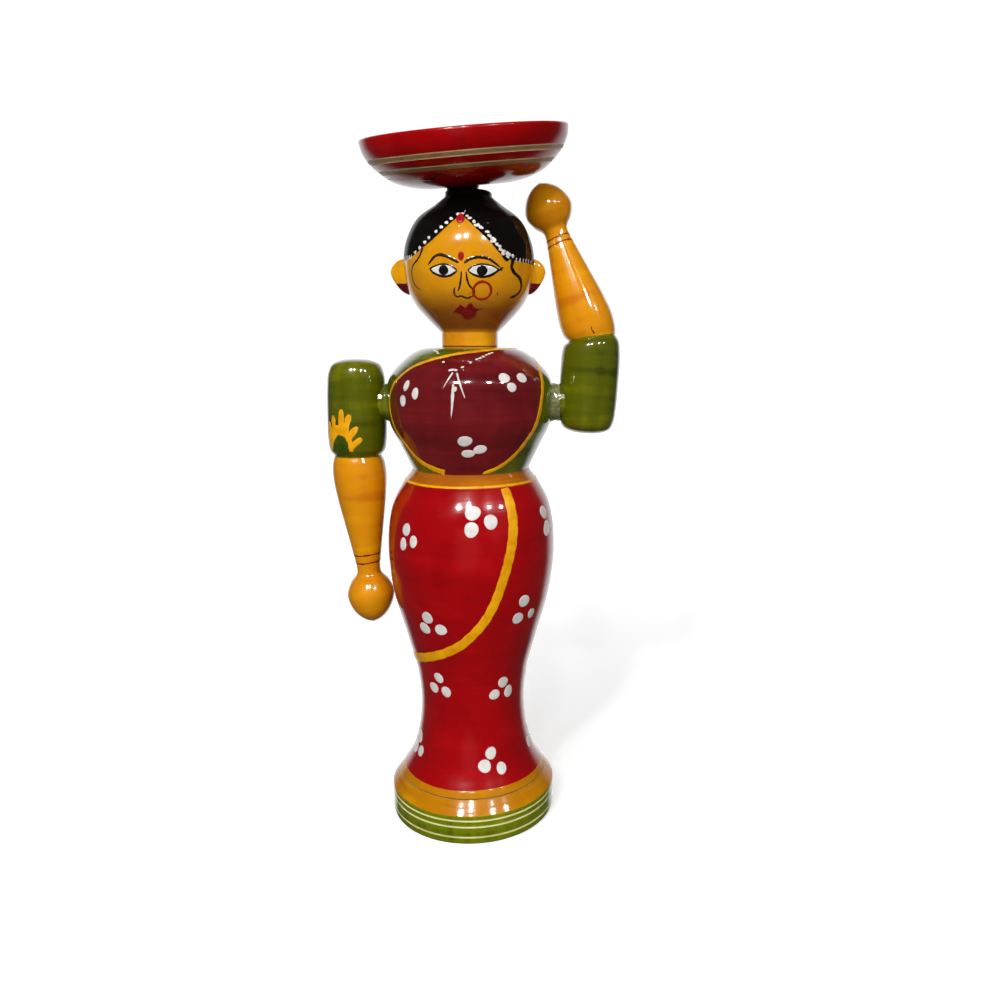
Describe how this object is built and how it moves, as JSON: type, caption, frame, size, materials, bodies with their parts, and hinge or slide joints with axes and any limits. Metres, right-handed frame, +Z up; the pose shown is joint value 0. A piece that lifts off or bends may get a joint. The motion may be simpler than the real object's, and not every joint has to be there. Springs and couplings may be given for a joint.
{
  "type": "articulated wooden doll",
  "caption": "Lathe-turned, lacquered wooden doll on a round base, with turning arms and head, one arm raised, carrying a shallow dish on its head.",
  "frame": {"origin": "centre of the base's flat underside", "axes": "+Z up along the turning axis, -Y the way the face looks, +X towards the doll's own left, raised arm"},
  "size_m": [0.0848, 0.057, 0.2031],
  "materials": {
    "base_lacquer": "gloss lacquer, green side with three pale cut lines and a yellow top",
    "skirt_lacquer": "gloss lacquer, red with white dots and a yellow border",
    "blouse_lacquer": "gloss lacquer, green under a maroon painted drape",
    "head_lacquer": "gloss lacquer, yellow face and black hair",
    "ear_lacquer": "gloss lacquer",
    "dish_lacquer": "gloss lacquer with bare cut lines",
    "sleeve_lacquer": "gloss lacquer",
    "arm_lacquer": "gloss lacquer",
    "bare_wood": "unpainted"
  },
  "bodies": {
    "doll": {"base_plinth": "base_lacquer", "base_peg": "bare_wood", "skirt": "skirt_lacquer", "waist_peg": "bare_wood", "torso": "blouse_lacquer", "neck_peg": "bare_wood", "shoulder_peg_left": "bare_wood", "shoulder_peg_right": "bare_wood"},
    "head": {"head": "head_lacquer", "ear_left": "ear_lacquer", "ear_right": "ear_lacquer", "ear_pin_left": "bare_wood", "ear_pin_right": "bare_wood", "dish": "dish_lacquer", "dish_peg": "bare_wood"},
    "arm_right": {"upper_arm_right": "sleeve_lacquer", "forearm_right": "arm_lacquer", "elbow_peg_right": "bare_wood"},
    "arm_left": {"upper_arm_left": "sleeve_lacquer", "forearm_left": "arm_lacquer", "elbow_peg_left": "bare_wood"}
  },
  "joints": [
    {"name": "shoulder_right", "type": "hinge", "parent": "doll", "child": "arm_right", "pos_m": [-0.033, 0, 0.1222], "axis": [1, 0, 0], "range_deg": [-140, 140]},
    {"name": "shoulder_left", "type": "hinge", "parent": "doll", "child": "arm_left", "pos_m": [0.034, 0, 0.1222], "axis": [1, 0, 0], "range_deg": [-140, 140]},
    {"name": "neck_turn", "type": "hinge", "parent": "doll", "child": "head", "pos_m": [0, 0, 0.1385], "axis": [0, 0, 1], "range_deg": [-30, 30]}
  ]
}
